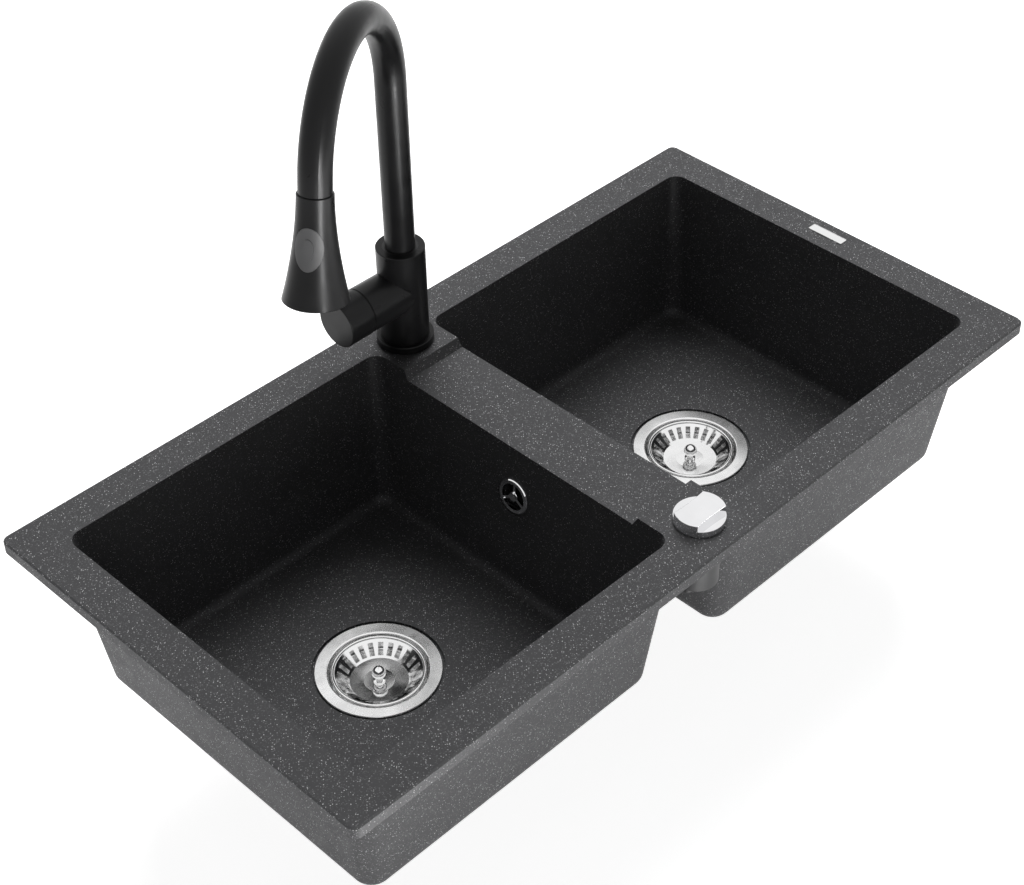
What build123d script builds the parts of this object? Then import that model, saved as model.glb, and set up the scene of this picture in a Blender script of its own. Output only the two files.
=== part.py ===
"""Double bowl kitchen sink with strainer wastes, an overflow, a pop-up control and a pull-down mixer tap.

Millimetres. The origin is the centre of the rim's underside, which is the worktop's surface.
+X runs along the long side, +Y towards the tap and +Z up.
"""

from build123d import *
from math import atan2, cos, degrees, radians, sin, sqrt, tan
import os

os.makedirs("parts", exist_ok=True)

# ---------------------------------------------------------------- basin, one moulding in three parts
rim_length = 840.0
rim_width = 440.0
rim_thickness = 12.0
rim_corner_radius = 8.0
rim_edge_bevel = 1.5
bowl_length = 347.6
bowl_width = 362.0
bowl_spacing = 67.4  # between the two bowl openings
bowl_depth = 156.0
bowl_draft = 6.0  # degrees
bowl_corner_radius = 13.0
bowl_floor_corner_radius = 17.0
bowl_floor_fillet = 11.0
bowl_wall = 8.4
bowl_outer_corner_radius = 19.0
bowl_base_thickness = 12.0
bowl_base_fillet = 16.0
divider_drop = 9.0  # the divider's top lies this far under the rim
divider_thickness = 12.0
divider_half_length = 138.5
divider_ramp = 5.0
tap_hole_radius = 17.5
tap_setback = 41.9  # from the rim's back edge
tap_deck_length = 100.0
tap_deck_width = 72.0  # from the rim's back edge
control_setback = 38.0  # from the rim's front edge

rim_top = rim_thickness
tap_y = rim_width / 2 - tap_setback
control_y = control_setback - rim_width / 2
divider_z = rim_top - divider_drop
floor_z = rim_top - bowl_depth
base_z = floor_z - bowl_base_thickness
bowl_x = (bowl_spacing + bowl_length) / 2
draft_slope = tan(radians(bowl_draft))

# ---------------------------------------------------------------- strainer wastes
flange_radius = 56.5
flange_thickness = 1.5
flange_lip = 2.0  # where the flat flange turns down into the cup
flange_seal_thickness = 1.0
flange_recess_clearance = 2.5
cup_radius = 45.0
cup_wall = 1.0
cup_depth = 20.0
cup_corner = 3.0
throat_radius = 20.0
throat_depth = 4.0
cross_width = 6.0
hub_radius = 7.0
drain_hole_clearance = 0.5
basket_rim_radius = 41.0  # to the middle of the rolled rim
basket_rim_roll = 1.65
basket_rim_drop = 0.6
basket_floor_radius = 27.5
basket_floor_depth = 13.5
basket_sheet = 0.9
basket_slots = 24
basket_slot_width = 4.6
basket_slot_land = 1.8  # solid band left above and below each slot
basket_slot_inset = 0.41  # of a slot's middle from the middle of the cone
basket_slot_drop = 0.66
basket_floor_dish = 0.6
knob_ball_radius = 6.4
knob_ball_height = 9.4
knob_stem_radius = 3.2
knob_collar_radius = 5.2
knob_collar_height = 1.6
knob_collar_slope = 0.8
plug_radius = 24.5
plug_neck_radius = 14.0
plug_edge_thickness = 2.6
plug_neck_flare = 1.5
plug_recess_depth = 2.5
plug_recess_margin = 1.0
seat_gap = 0.3  # between pieces of different bodies that rest on each other
gasket_thickness = 2.0
gasket_radius = 53.0
waste_flange_radius = 55.0
waste_flange_thickness = 4.0
waste_wall = 3.4
waste_wall_clearance = 0.6
waste_cup_depth = 40.0
waste_funnel_depth = 14.0
waste_spigot_radius = 23.9
waste_spigot_length = 30.0
waste_bore_radius = 20.0
waste_bridge_height = 8.0
waste_rib_width = 4.0
waste_ribs = 3
waste_rib_reach = 32.0
screw_radius = 3.0
screw_clearance = 0.3
screw_head_radius = 5.5
screw_head_height = 2.6
screw_head_bevel = 0.8
screw_slot = 1.2

# ---------------------------------------------------------------- overflow, in the left bowl's divider wall
overflow_y = -2.0
overflow_drop = 60.0  # under the rim's top
overflow_recess_radius = 19.9
overflow_recess_depth = 1.5
overflow_cover_radius = 17.2
overflow_cover_thickness = 2.4
overflow_opening_radius = 13.2
overflow_hub_radius = 4.6
overflow_spokes = 3
overflow_spoke_width = 2.6
overflow_spoke_thickness = 1.4
overflow_screw_head = 1.6
overflow_hole_radius = 15.0
overflow_seal_thickness = 2.0
overflow_seal_radius = 19.0
overflow_body_radius = 19.0
overflow_body_depth = 14.0
overflow_body_wall = 2.2
overflow_body_step = 0.5
overflow_screw_radius = 2.5
overflow_pipe_radius = 10.0
overflow_pipe_wall = 1.6
overflow_pipe_bend = 26.0
overflow_pipe_gap = 2.5  # between the pipe's end and the housing above it
overflow_spigot_clearance = 0.2
overflow_spigot_length = 14.0
overflow_spigot_root = 2.0  # inside the housing
overflow_spigot_reach = 8.0  # of its bore, into the housing
overflow_port_rise = 2.5  # of its lower side over the waste's cup floor
overflow_hub_overlap = 2.5
overflow_pipe_end_gap = 1.0

# ---------------------------------------------------------------- pop-up control knob
control_radius = 22.35
control_height = 12.3
control_ledge_height = 6.0
control_bar_front = 13.3  # from the middle to the grip bar's front and back faces
control_bar_back = 12.8
control_bar_hollow = 1.0
control_gap = 0.3
control_base_radius = 20.5
control_base_thickness = 0.7
control_tube_radius = 17.0
control_tube_length = 36.0
control_tube_bore = 12.0
control_spindle_radius = 6.0
control_bearing = 8.0
control_nut_radius = 21.5
control_nut_thickness = 8.0
control_washer_thickness = 2.0
control_box_height = 16.0
control_box_wall = 2.5
control_edge = 0.5
control_arm_reach = 10.0
control_arm_thickness = 5.0
control_arm_boss = 2.0
cable_gland_radius = 3.8
cable_gland_length = 10.0
cable_bore_radius = 1.5

# ---------------------------------------------------------------- tap body and its fixing
deck_seal_thickness = 0.8
deck_seal_radius = 25.5
base_ring_radius = 26.7
base_ring_height = 6.7
tap_radius = 22.6
tap_height = 104.1  # over the rim's top
tap_edge_bevel = 0.6
shank_radius = 17.0
shank_bore = 15.3
shank_length = 55.0  # under the rim
shank_socket = 8.0
fit = 0.05  # running and screwed fits
fixing_washer_radius = 23.5
fixing_seal_thickness = 2.0
fixing_washer_thickness = 1.5
fixing_nut_across_flats = 41.0
fixing_nut_height = 10.0
inlet_radius = 3.5
inlet_depth = 12.0
inlet_ring = 11.8
inlet_spread = 50.0  # degrees each side of the mixed water's way out
passage_radius = 2.0
port_rise = 8.0
hose_passage_radius = 7.0
branch_radius = 22.0
branch_height = 58.4  # over the rim's top
branch_length = 52.0
branch_bevel = 1.0
chamber_radius = 17.7
chamber_start = 14.0

# ---------------------------------------------------------------- cartridge and handle
cartridge_radius = 17.5
cartridge_gasket_thickness = 1.0
cartridge_base_length = 4.5
cartridge_length = 21.5
carrier_radius = 13.0
carrier_flange_radius = 15.0
carrier_flange_length = 4.0
lever_pivot = 28.0  # from the tap's axis along the branch
lever_tilt = 20.0  # degrees
tilt_allowance = 2.0  # degrees
stem_radius = 4.9
stem_clearance = 0.5
stem_tail = 6.5
stem_reach = 71.0
hinge_pin_radius = 1.5
nut_outer_radius = 19.4
nut_inner_radius = 15.5
nut_length = 8.0
handle_gap = 1.0
handle_length = 27.0
handle_radius = 22.5
handle_bevel_radius = 22.2
handle_bevel_length = 4.0
handle_edge = 0.9
handle_wall = 0.8
handle_hollow = 11.0
lever_x = 68.0
lever_lean = 14.0  # degrees, outwards
lever_root_radius = 8.0
lever_radius = 4.0
lever_root_height = 6.0
lever_root_sink = 1.0
lever_root_hollow = (0.3, 0.45)  # shares of its width and height at the middle of its curve
lever_length = 84.0  # from the handle's axis
lever_socket = 9.0
lever_thread_radius = 2.9
grub_radius = 2.0
grub_length = 7.0

# ---------------------------------------------------------------- spout
spout_radius = 13.8
spout_wall = 1.5
spout_rise = 275.0  # top of the straight part over the rim's top
arch_radius = 95.0
arch_angle = 168.0
spout_heading = 210.0  # degrees, in plan
spout_tip = 11.9
spout_seat = 91.0  # the spout's socket starts this far over the rim's underside
bush_radius = 16.25
bush_floor = 2.0
bush_bore = 9.0
ring_outer_radius = 15.0
ring_groove = 0.6
ring_height = 1.1
ring_level = 5.5
sleeve_start = 0.3
sleeve_bore = 9.8
hose_radius = 6.5
hose_bottom = -60.0
hose_end = 4.0
connector_flats = 17.0
connector_length = 16.0

# ---------------------------------------------------------------- spray head, measured along its own axis
head_top = 12.2
head_bottom = 102.3
head_top_radius = 15.1
head_mouth_radius = 27.4
head_bevel = 0.5
head_lip = 0.7
head_wall = 2.2
head_shoulder = 5.0
flare_power = 1.8
flare_trim = 1.0
flare_steps = 5
neck_radius = 9.7
neck_bore = 7.0
neck_start = 3.0
ferrule_radius = 6.9
ferrule_length = 18.0
core_radius = 9.0
core_bore = 4.0
core_cup_radius = 22.5
core_cup_length = 5.0
core_funnel = 8.0
face_recess = 1.2
face_thickness = 3.6
face_clearance = 0.25
aerator_radius = 6.0
aerator_depth = 1.5
inner_nozzles = 6
outer_nozzles = 12
inner_nozzle_ring = 12.0
outer_nozzle_ring = 20.0
nozzle_radius = 1.2
nozzle_taper = 20.0  # degrees
nozzle_length = 0.9
pad_level = 53.0
pad_width = 24.0
pad_height = 35.0
pad_stand = 0.25
pad_sink = 1.0
button_width = 9.6
button_height = 17.0
button_stand = 0.9
button_flange = 1.2
button_flange_thickness = 1.4
button_travel = 1.5
button_stop = 1.7  # left behind the button when it is pressed
slide_clearance = 0.08
cut_overrun = 1.0  # of a cutting form past the face that it opens


def save(piece: BuildPart, name: str) -> None:
    """Labels a finished piece and writes its file."""
    piece.part.label = name
    export_step(piece.part, f"parts/{name}.step")


def save_group(pieces: tuple[BuildPart, ...], name: str) -> None:
    """Writes solids that touch, and so can't share one builder, as one named file."""
    group = Compound([solid for piece in pieces for solid in piece.part.solids()], label=name)
    export_step(group, f"parts/{name}.step")


def level(x: float, y: float, z: float) -> Plane:
    """A level sketching plane, with local X along +X."""
    return Plane(origin=(x, y, z), x_dir=(1, 0, 0), z_dir=(0, 0, 1))


def upright(x: float, y: float, z: float) -> Plane:
    """A plane for profiles that turn about the vertical: local X is +X and local Y is +Z."""
    return Plane(origin=(x, y, z), x_dir=(1, 0, 0), z_dir=(0, -1, 0))


def ring(plane: Plane, outer_radius: float, inner_radius: float, height: float) -> BuildPart:
    """A plain washer, seal or tube that stands on the plane."""
    with BuildPart() as washer:
        with BuildSketch(plane):
            Circle(outer_radius)
            Circle(inner_radius, mode=Mode.SUBTRACT)
        extrude(amount=height)
    return washer


# ================================================================ basin
def bowl_form(
    side: int,
    allowance: float,
    top_z: float,
    bottom_z: float,
    top_corner: float,
    bottom_corner: float,
    rounding: float,
) -> Part:
    """A bowl's tapered form between two levels, grown outwards by the allowance."""
    with BuildPart() as form:
        for z, corner in ((top_z, top_corner), (bottom_z, bottom_corner)):
            inset = (rim_top - z) * draft_slope - allowance
            with BuildSketch(level(side * bowl_x, 0, z)):
                RectangleRounded(bowl_length - 2 * inset, bowl_width - 2 * inset, corner)
        loft()
        fillet(form.edges().group_by(Axis.Z)[0], rounding)
    return form.part


overflow_wall_x = -bowl_spacing / 2 - overflow_drop * draft_slope
overflow_plane = Plane(
    origin=(overflow_wall_x, overflow_y, rim_top - overflow_drop),
    x_dir=(0, -1, 0),
    z_dir=(-cos(radians(bowl_draft)), 0, sin(radians(bowl_draft))),
)
overflow_wall_depth = bowl_wall * cos(radians(bowl_draft))
recess_depth = flange_thickness + flange_seal_thickness

bowl_cavities = [
    bowl_form(side, 0, rim_top, floor_z, bowl_corner_radius, bowl_floor_corner_radius, bowl_floor_fillet)
    for side in (-1, 1)
]
bowl_shells = [
    bowl_form(side, bowl_wall, 0, base_z, *(bowl_outer_corner_radius,) * 2, bowl_base_fillet)
    for side in (-1, 1)
]

with BuildPart() as sink_rim:
    with BuildSketch():
        RectangleRounded(rim_length, rim_width, rim_corner_radius)
    extrude(amount=rim_thickness)
    chamfer(sink_rim.edges().group_by(Axis.Z)[-1], rim_edge_bevel)
    # the bridge under the lowered divider
    with BuildSketch(level(0, 0, divider_z - divider_thickness)):
        Rectangle(bowl_spacing, 2 * divider_half_length)
    extrude(amount=divider_thickness)
    add(bowl_shells, mode=Mode.SUBTRACT)
    add(bowl_cavities, mode=Mode.SUBTRACT)
    # the divider's top, lowered between the front and back platforms, with ramped ends
    with BuildSketch(Plane.YZ):
        with BuildLine():
            Polyline(
                (-divider_half_length, divider_z),
                (divider_half_length, divider_z),
                (divider_half_length + divider_ramp, rim_top),
                (-divider_half_length - divider_ramp, rim_top),
                close=True,
            )
        make_face()
    extrude(amount=bowl_spacing / 2 + divider_drop * draft_slope, both=True, mode=Mode.SUBTRACT)
    # tap and control holes
    with BuildSketch():
        with Locations((0, tap_y), (0, control_y)):
            Circle(tap_hole_radius)
    extrude(amount=rim_thickness, mode=Mode.SUBTRACT)

# the deck around the tap hole is a solid of its own, so that collision follows the hole
with BuildPart() as tap_deck:
    add(sink_rim.part)
    with BuildSketch():
        with Locations((0, (rim_width - tap_deck_width) / 2)):
            Rectangle(tap_deck_length, tap_deck_width)
    extrude(amount=rim_thickness, mode=Mode.INTERSECT)
with BuildPart() as rim_frame:
    add(sink_rim.part)
    add(tap_deck.part, mode=Mode.SUBTRACT)
save_group((rim_frame, tap_deck), "sink_rim")

for side, name, shell, cavity in zip((-1, 1), ("left", "right"), bowl_shells, bowl_cavities):
    with BuildPart() as bowl:
        add(shell)
        add(cavity, mode=Mode.SUBTRACT)
        # the strainer's seat and hole
        with BuildSketch(level(side * bowl_x, 0, floor_z)):
            Circle(flange_radius + flange_recess_clearance)
        extrude(amount=-recess_depth, mode=Mode.SUBTRACT)
        with BuildSketch(level(side * bowl_x, 0, floor_z)):
            Circle(cup_radius + drain_hole_clearance)
        extrude(amount=-bowl_base_thickness, mode=Mode.SUBTRACT)
        if side < 0:
            # the overflow's seat and hole
            with BuildSketch(overflow_plane):
                Circle(overflow_recess_radius)
            extrude(amount=-overflow_recess_depth, mode=Mode.SUBTRACT)
            with BuildSketch(overflow_plane):
                Circle(overflow_hole_radius)
            extrude(amount=-2 * bowl_wall, mode=Mode.SUBTRACT)
    save(bowl, f"sink_{name}_bowl")

# ================================================================ strainer wastes
throat_floor = -cup_depth - throat_depth  # levels in a waste are counted from the bowl's floor
plug_bottom = -cup_depth + seat_gap
gasket_top = -bowl_base_thickness
waste_top = gasket_top - gasket_thickness
waste_cup_bottom = waste_top - waste_cup_depth
waste_funnel_bottom = waste_cup_bottom - waste_funnel_depth
waste_bottom = waste_funnel_bottom - waste_spigot_length
waste_inner_radius = cup_radius + waste_wall_clearance
waste_outer_radius = waste_inner_radius + waste_wall
screw_head_top = throat_floor + screw_head_height
screw_bottom = waste_cup_bottom - waste_bridge_height
overflow_port_z = floor_z + waste_cup_bottom + overflow_pipe_radius + overflow_port_rise
spigot_radius = overflow_pipe_radius - overflow_pipe_wall - overflow_spigot_clearance

for side, name in ((-1, "left"), (1, "right")):
    drain = upright(side * bowl_x, 0, floor_z)
    drain_axis = Axis(drain.origin, (0, 0, 1))

    with BuildPart() as drain_flange:
        with BuildSketch(drain):
            with BuildLine():
                lip_radius = cup_radius - cup_wall + flange_lip
                corner_radius = cup_radius - cup_wall - cup_corner
                Polyline(
                    (cup_radius, -flange_thickness),
                    (flange_radius, -flange_thickness),
                    (flange_radius, -flange_thickness / 3),
                    (flange_radius - flange_thickness / 3, 0),
                    (lip_radius, 0),
                )
                RadiusArc((lip_radius, 0), (lip_radius - flange_lip, -flange_lip), -flange_lip)
                Line((cup_radius - cup_wall, -flange_lip), (cup_radius - cup_wall, -cup_depth + cup_corner))
                RadiusArc(
                    (corner_radius + cup_corner, -cup_depth + cup_corner),
                    (corner_radius, -cup_depth),
                    cup_corner,
                )
                Polyline(
                    (corner_radius, -cup_depth),
                    (throat_radius, -cup_depth),
                    (throat_radius, throat_floor - cup_wall),
                    (throat_radius + cup_wall, throat_floor - cup_wall),
                    (throat_radius + cup_wall, -cup_depth - cup_wall),
                    (corner_radius, -cup_depth - cup_wall),
                )
                RadiusArc(
                    (corner_radius, -cup_depth - cup_wall),
                    (cup_radius, -cup_depth + cup_corner),
                    -(cup_corner + cup_wall),
                )
                Line((cup_radius, -cup_depth + cup_corner), (cup_radius, -flange_thickness))
            make_face()
        revolve(axis=drain_axis)
        with BuildSketch(level(side * bowl_x, 0, floor_z + throat_floor)):
            Rectangle(2 * throat_radius + cup_wall, cross_width)
            Rectangle(cross_width, 2 * throat_radius + cup_wall)
            Circle(hub_radius)
            Circle(screw_radius + screw_clearance, mode=Mode.SUBTRACT)
        extrude(amount=-cup_wall)
    save(drain_flange, f"{name}_drain_flange")

    save(
        ring(
            level(side * bowl_x, 0, floor_z - recess_depth),
            flange_radius,
            cup_radius + drain_hole_clearance,
            flange_seal_thickness,
        ),
        f"{name}_flange_seal",
    )
    save(
        ring(
            level(side * bowl_x, 0, floor_z + waste_top),
            gasket_radius,
            waste_inner_radius,
            gasket_thickness,
        ),
        f"{name}_drain_gasket",
    )

    with BuildPart() as drain_body:
        with BuildSketch(drain):
            with BuildLine():
                Polyline(
                    (waste_inner_radius, waste_top),
                    (waste_flange_radius, waste_top),
                    (waste_flange_radius, waste_top - waste_flange_thickness),
                    (waste_outer_radius, waste_top - waste_flange_thickness),
                    (waste_outer_radius, waste_cup_bottom),
                    (waste_spigot_radius, waste_funnel_bottom),
                    (waste_spigot_radius, waste_bottom),
                    (waste_bore_radius, waste_bottom),
                    (waste_bore_radius, waste_funnel_bottom),
                    (waste_inner_radius, waste_cup_bottom),
                    close=True,
                )
            make_face()
        revolve(axis=drain_axis)
        # ribs carry the hub that the waste's screw pulls on
        with BuildSketch(level(side * bowl_x, 0, floor_z + waste_cup_bottom)):
            with PolarLocations(0, waste_ribs, start_angle=90):
                Rectangle(waste_rib_reach, waste_rib_width, align=(Align.MIN, Align.CENTER))
            Circle(hub_radius)
            Circle(screw_radius, mode=Mode.SUBTRACT)
        extrude(amount=-waste_bridge_height)
        if side < 0:
            # the overflow's way in
            port_plane = Plane(
                origin=(side * bowl_x + waste_inner_radius - cut_overrun, overflow_y, overflow_port_z),
                x_dir=(0, 1, 0),
                z_dir=(1, 0, 0),
            )
            port_length = waste_wall + cut_overrun + overflow_spigot_length
            with BuildSketch(port_plane):
                Circle(spigot_radius)
            extrude(amount=port_length)
            with BuildSketch(port_plane.offset(-cut_overrun)):
                Circle(spigot_radius - overflow_pipe_wall)
            extrude(amount=port_length + cut_overrun, mode=Mode.SUBTRACT)
    save(drain_body, f"{name}_drain_body")

    with BuildPart() as drain_screw:
        with BuildSketch(drain):
            with BuildLine():
                Polyline(
                    (0, screw_bottom),
                    (screw_radius, screw_bottom),
                    (screw_radius, throat_floor),
                    (screw_head_radius, throat_floor),
                    (screw_head_radius, screw_head_top - screw_head_bevel),
                    (screw_head_radius - screw_head_bevel, screw_head_top),
                    (0, screw_head_top),
                    close=True,
                )
            make_face()
        revolve(axis=drain_axis)
        with BuildSketch(level(side * bowl_x, 0, floor_z + screw_head_top)):
            Rectangle(2 * screw_head_radius, screw_slot)
        extrude(amount=-screw_slot, mode=Mode.SUBTRACT)
    save(drain_screw, f"{name}_drain_screw")

    # the lift-out basket: rolled rim, slotted cone and dished floor
    basket_rim_z = -basket_rim_drop - basket_rim_roll
    cone_top_radius = basket_rim_radius - basket_rim_roll + basket_sheet
    cone_lean = atan2(cone_top_radius - basket_floor_radius, basket_floor_depth + basket_rim_z)
    sheet_x = basket_sheet / cos(cone_lean)
    dish_top = -basket_floor_depth - basket_floor_dish
    dish_bottom = dish_top - basket_sheet
    with BuildPart() as basket:
        with BuildSketch(drain):
            with BuildLine():
                Polyline(
                    (cone_top_radius, basket_rim_z),
                    (cone_top_radius - sheet_x, basket_rim_z),
                    (basket_floor_radius - sheet_x, -basket_floor_depth),
                    (basket_floor_radius / 2, dish_top),
                    (0, dish_top),
                    (0, dish_bottom),
                    (basket_floor_radius - sheet_x / 2, dish_bottom),
                    (basket_floor_radius, -basket_floor_depth),
                    close=True,
                )
            make_face()
            with Locations((basket_rim_radius, basket_rim_z)):
                Circle(basket_rim_roll)
        revolve(axis=drain_axis)
        # slots through the cone, cut square to its wall
        slot_run = basket_floor_depth + basket_rim_z
        slot_length = slot_run / cos(cone_lean) - 2 * basket_slot_land - basket_rim_roll
        slot_mid_radius = (cone_top_radius + basket_floor_radius - sheet_x) / 2 - basket_slot_inset
        slot_mid_z = (basket_rim_z - basket_floor_depth) / 2 - basket_slot_drop
        with BuildPart(mode=Mode.PRIVATE) as slot_cutter:
            with PolarLocations(0, basket_slots):
                with Locations(Location((slot_mid_radius, 0, slot_mid_z), (0, degrees(cone_lean), 0))):
                    Box(6 * basket_sheet, basket_slot_width, slot_length)
        add(slot_cutter.part.moved(Location(drain.origin)), mode=Mode.SUBTRACT)
    save(basket, f"{name}_basket")

    with BuildPart() as basket_plug:
        with BuildSketch(drain):
            with BuildLine():
                Polyline(
                    (0, dish_bottom),
                    (plug_neck_radius, dish_bottom),
                    (plug_neck_radius + plug_neck_flare, plug_bottom + plug_edge_thickness),
                    (plug_radius, plug_bottom + plug_edge_thickness),
                    (plug_radius, plug_bottom),
                    (hub_radius + 2 * plug_recess_margin, plug_bottom),
                    (hub_radius + plug_recess_margin, plug_bottom + plug_recess_depth),
                    (0, plug_bottom + plug_recess_depth),
                    close=True,
                )
            make_face()
        revolve(axis=drain_axis)
    save(basket_plug, f"{name}_basket_plug")

    with BuildPart() as basket_knob:
        with BuildSketch(drain):
            with BuildLine():
                ball = -basket_floor_depth + knob_ball_height
                throat = sqrt(knob_ball_radius**2 - knob_stem_radius**2)
                Polyline(
                    (0, ball + knob_ball_radius),
                    (0, dish_top),
                    (knob_collar_radius, dish_top),
                    (knob_collar_radius, dish_top + knob_collar_height),
                    (knob_stem_radius, dish_top + knob_collar_height + knob_collar_slope),
                    (knob_stem_radius, ball - throat),
                )
                ThreePointArc(
                    (knob_stem_radius, ball - throat),
                    (knob_ball_radius, ball),
                    (0, ball + knob_ball_radius),
                )
            make_face()
        revolve(axis=drain_axis)
    save(basket_knob, f"{name}_basket_knob")

# ================================================================ overflow
cover_base = overflow_plane.offset(-overflow_recess_depth)
body_face = overflow_plane.offset(-overflow_wall_depth - overflow_seal_thickness)
with BuildPart() as overflow_cover:
    with BuildSketch(cover_base):
        Circle(overflow_cover_radius)
        Circle(overflow_opening_radius, mode=Mode.SUBTRACT)
    extrude(amount=overflow_cover_thickness)
    chamfer(
        overflow_cover.edges().filter_by(GeomType.CIRCLE).sort_by(SortBy.RADIUS)[-1],
        overflow_cover_thickness / 3,
    )
    with BuildSketch(cover_base):
        with PolarLocations(0, overflow_spokes, start_angle=90):
            Rectangle(
                overflow_opening_radius + cut_overrun, overflow_spoke_width, align=(Align.MIN, Align.CENTER)
            )
        Circle(overflow_hub_radius)
        Circle(overflow_screw_radius + screw_clearance, mode=Mode.SUBTRACT)
    extrude(amount=overflow_spoke_thickness)
save(overflow_cover, "overflow_cover")

save(
    ring(body_face, overflow_seal_radius, overflow_hole_radius, overflow_seal_thickness),
    "overflow_seal",
)

overflow_seat_depth = overflow_wall_depth + overflow_seal_thickness
overflow_pipe_x = overflow_wall_x + overflow_seat_depth + overflow_body_depth / 2 + overflow_hub_overlap
overflow_body_z = rim_top - overflow_drop
overflow_spigot_top = overflow_body_z - overflow_body_radius
with BuildPart() as overflow_body:
    with BuildSketch(body_face):
        Circle(overflow_body_radius)
    extrude(amount=-overflow_body_depth)
    with BuildSketch(level(overflow_pipe_x, overflow_y, overflow_spigot_top + overflow_spigot_root)):
        Circle(spigot_radius)
    extrude(amount=-overflow_spigot_length - overflow_spigot_root)
    with BuildSketch(body_face):
        Circle(overflow_hole_radius - overflow_body_step)
    extrude(amount=-overflow_body_depth + overflow_body_wall, mode=Mode.SUBTRACT)
    with BuildSketch(body_face.offset(-overflow_body_depth)):
        Circle(overflow_hub_radius)
    extrude(amount=overflow_body_depth)
    with BuildSketch(body_face):
        Circle(overflow_screw_radius)
    extrude(amount=-overflow_body_depth + overflow_body_wall, mode=Mode.SUBTRACT)
    with BuildSketch(level(overflow_pipe_x, overflow_y, overflow_spigot_top - overflow_spigot_length)):
        Circle(spigot_radius - overflow_pipe_wall)
    extrude(amount=overflow_spigot_length + overflow_spigot_reach, mode=Mode.SUBTRACT)
save(overflow_body, "overflow_body")

screw_seat = cover_base.offset(overflow_spoke_thickness)
with BuildPart() as overflow_screw:
    with BuildSketch(screw_seat):
        Circle(overflow_screw_radius + overflow_screw_head)
    extrude(amount=overflow_screw_head)
    with BuildSketch(screw_seat):
        Circle(overflow_screw_radius)
    extrude(amount=-(overflow_seat_depth + overflow_body_depth / 2 - overflow_recess_depth))
save(overflow_screw, "overflow_screw")

pipe_end_x = -bowl_x + waste_outer_radius + overflow_pipe_end_gap
overflow_pipe_top = overflow_spigot_top - overflow_pipe_gap
with BuildPart() as overflow_pipe:
    pipe_plane = upright(overflow_pipe_x, overflow_y, 0)
    with BuildLine(pipe_plane) as pipe_path:
        Line((0, overflow_pipe_top), (0, overflow_port_z + overflow_pipe_bend))
        RadiusArc(
            (0, overflow_port_z + overflow_pipe_bend),
            (-overflow_pipe_bend, overflow_port_z),
            overflow_pipe_bend,
        )
        Line((-overflow_pipe_bend, overflow_port_z), (pipe_end_x - overflow_pipe_x, overflow_port_z))
    with BuildSketch(level(overflow_pipe_x, overflow_y, overflow_pipe_top)):
        Circle(overflow_pipe_radius)
        Circle(overflow_pipe_radius - overflow_pipe_wall, mode=Mode.SUBTRACT)
    sweep(path=pipe_path.line)
save(overflow_pipe, "overflow_pipe")

# ================================================================ pop-up control
control_floor = rim_top + control_base_thickness + control_gap
with BuildPart() as control_knob:
    with BuildSketch(level(0, control_y, control_floor)):
        Circle(control_radius)
    extrude(amount=control_height)
    # ledges in front of and behind the grip bar, with hollowed faces
    for facing, bar in ((-1, control_bar_front), (1, control_bar_back)):
        half_chord = sqrt(control_radius**2 - bar**2)
        outside = control_radius + cut_overrun
        with BuildSketch(level(0, control_y, control_floor + control_ledge_height)):
            with BuildLine():
                ThreePointArc(
                    (-half_chord, facing * bar),
                    (0, facing * (bar - control_bar_hollow)),
                    (half_chord, facing * bar),
                )
                Polyline(
                    (half_chord, facing * bar),
                    (outside, facing * bar),
                    (outside, facing * outside),
                    (-outside, facing * outside),
                    (-outside, facing * bar),
                    (-half_chord, facing * bar),
                )
            make_face()
        extrude(amount=control_height, mode=Mode.SUBTRACT)
    fillet(control_knob.edges().group_by(Axis.Z)[-1], control_edge)
    with BuildSketch(level(0, control_y, control_floor)):
        Circle(control_spindle_radius + fit)
    extrude(amount=control_bearing, mode=Mode.SUBTRACT)
save(control_knob, "control_knob")

control_tube_bottom = -control_tube_length
control_plane = upright(0, control_y, 0)
control_axis = Axis((0, control_y, 0), (0, 0, 1))
with BuildPart() as control_base:
    with BuildSketch(control_plane):
        with BuildLine():
            Polyline(
                (control_spindle_radius + fit, rim_top + control_base_thickness),
                (control_base_radius, rim_top + control_base_thickness),
                (control_base_radius, rim_top),
                (control_tube_radius, rim_top),
                (control_tube_radius, control_tube_bottom),
                (control_tube_bore, control_tube_bottom),
                (control_tube_bore, rim_top + control_base_thickness - control_bearing),
                (control_spindle_radius + fit, rim_top + control_base_thickness - control_bearing),
                close=True,
            )
        make_face()
    revolve(axis=control_axis)
save(control_base, "control_base")

save(
    ring(
        level(0, control_y, -control_washer_thickness),
        fixing_washer_radius,
        control_tube_radius + seat_gap,
        control_washer_thickness,
    ),
    "control_washer",
)
save(
    ring(
        level(0, control_y, -control_washer_thickness - control_nut_thickness),
        control_nut_radius,
        control_tube_radius + fit,
        control_nut_thickness,
    ),
    "control_nut",
)

# the box screws onto the tube's end and holds the arm that draws the cable
control_box_bottom = control_tube_bottom - control_box_height
control_arm_top = control_tube_bottom - control_gap
with BuildPart() as control_box:
    with BuildSketch(level(0, control_y, control_box_bottom)):
        Circle(control_tube_radius + control_box_wall)
    extrude(amount=control_box_height + control_bearing)
    with BuildSketch(level(-control_arm_reach, control_y, control_box_bottom)):
        Circle(cable_gland_radius)
    extrude(amount=-cable_gland_length)
    with BuildSketch(level(0, control_y, control_box_bottom + control_box_wall)):
        Circle(control_tube_radius + fit)
    extrude(amount=control_box_height + control_bearing, mode=Mode.SUBTRACT)
    with BuildSketch(level(-control_arm_reach, control_y, control_box_bottom - cable_gland_length)):
        Circle(cable_bore_radius)
    extrude(amount=cable_gland_length + control_box_wall, mode=Mode.SUBTRACT)
save(control_box, "control_box")

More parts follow.
